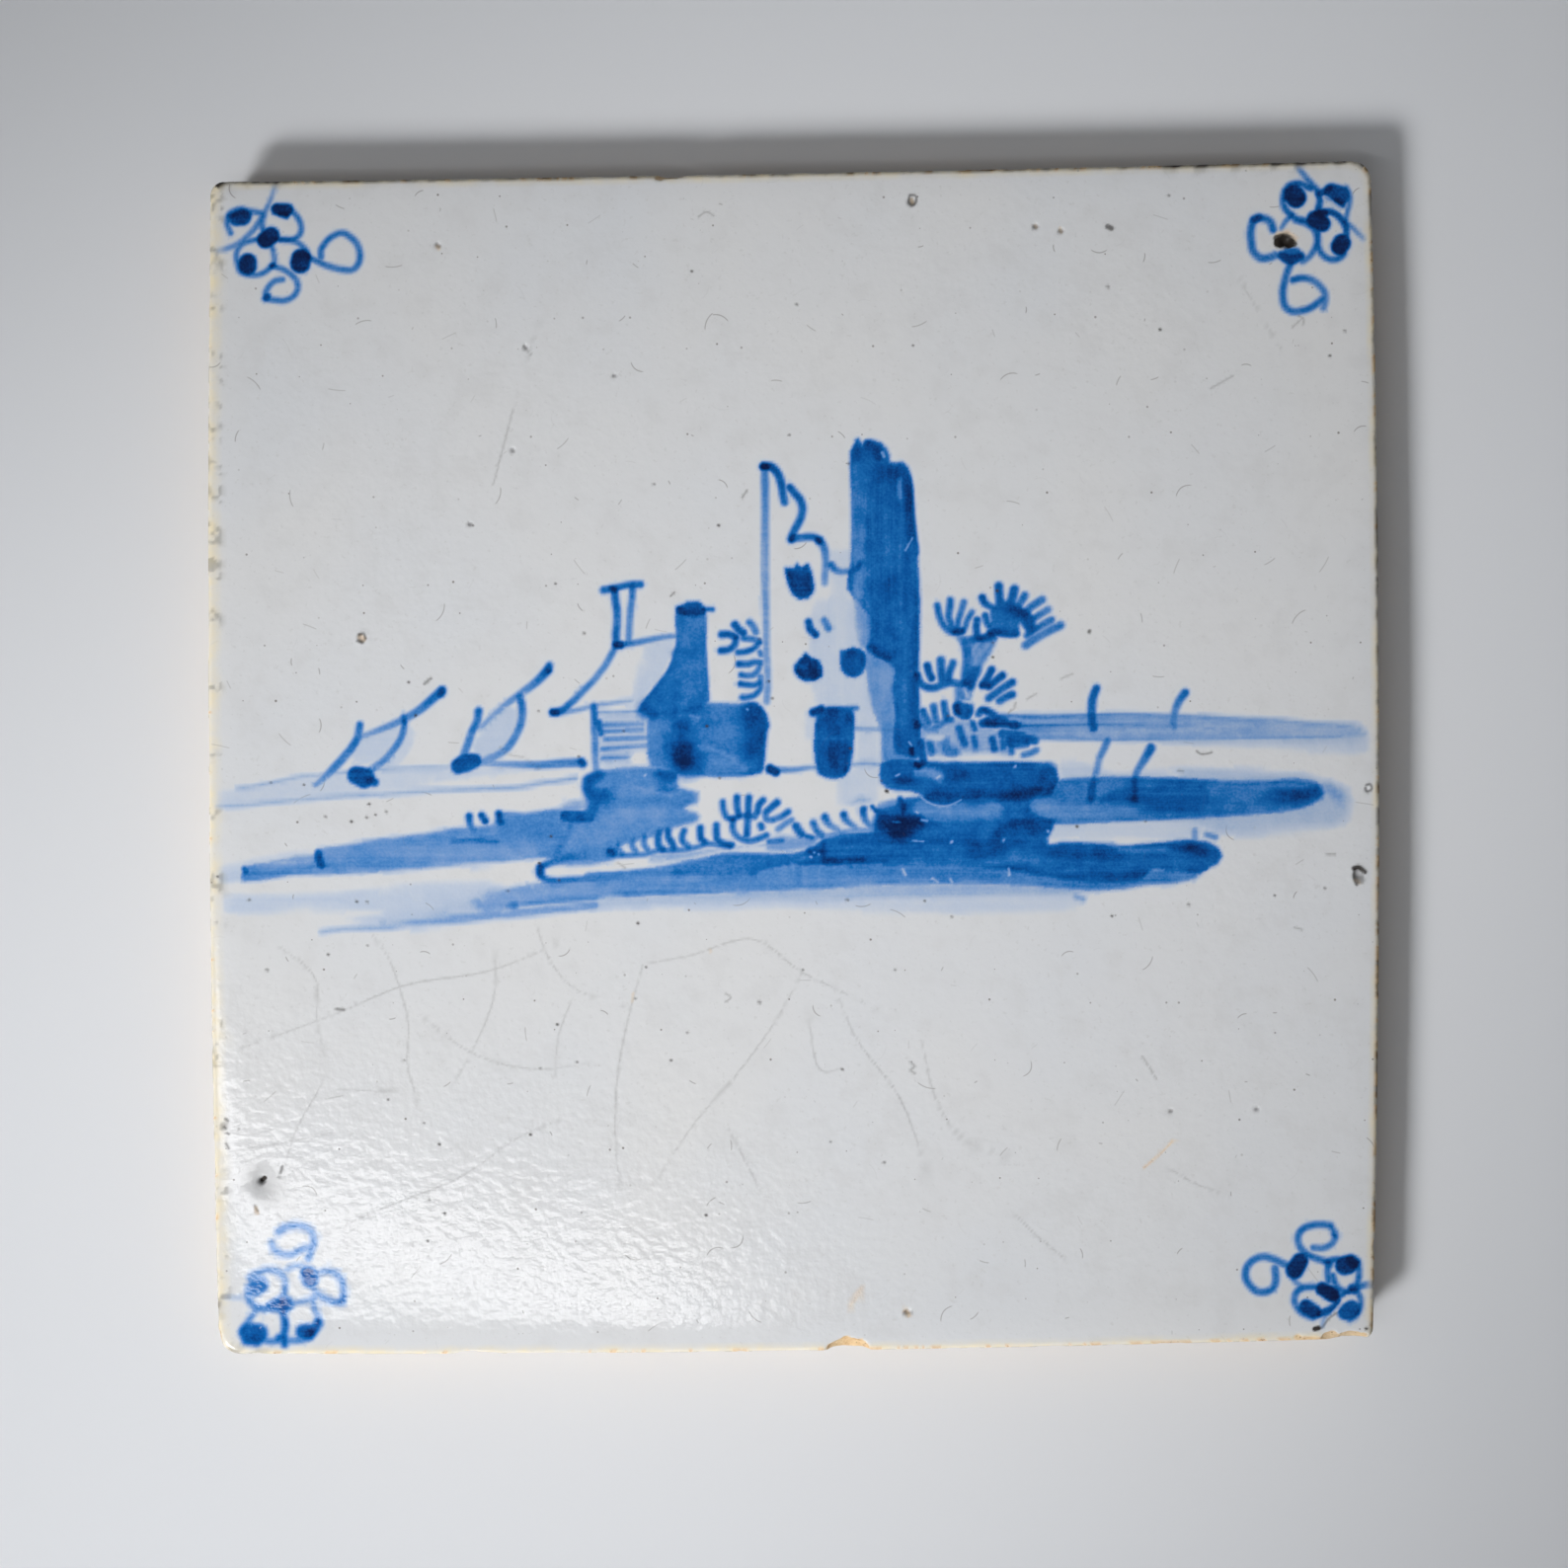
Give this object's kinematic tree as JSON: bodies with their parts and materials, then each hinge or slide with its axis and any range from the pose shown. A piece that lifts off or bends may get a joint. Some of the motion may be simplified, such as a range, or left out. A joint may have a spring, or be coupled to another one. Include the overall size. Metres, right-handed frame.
{
  "type": "delft tile",
  "caption": "Square tin-glazed earthenware wall tile with slightly crowned face, rounded and chipped arris, undercut sides and flat back, painted with a blue landscape.",
  "frame": {"origin": "middle of the tile's outline, on the flat back", "axes": "+Z out of the painted face, +Y towards the head of the picture, +X to the picture's right"},
  "size_m": [0.13, 0.1324, 0.008],
  "materials": {
    "tin_glazed_earthenware": "glossy white tin glaze painted in cobalt blue, over buff clay that shows in the chips, on the sides and on the back"
  },
  "bodies": {
    "root": {"tile": "tin_glazed_earthenware"}
  },
  "joints": []
}
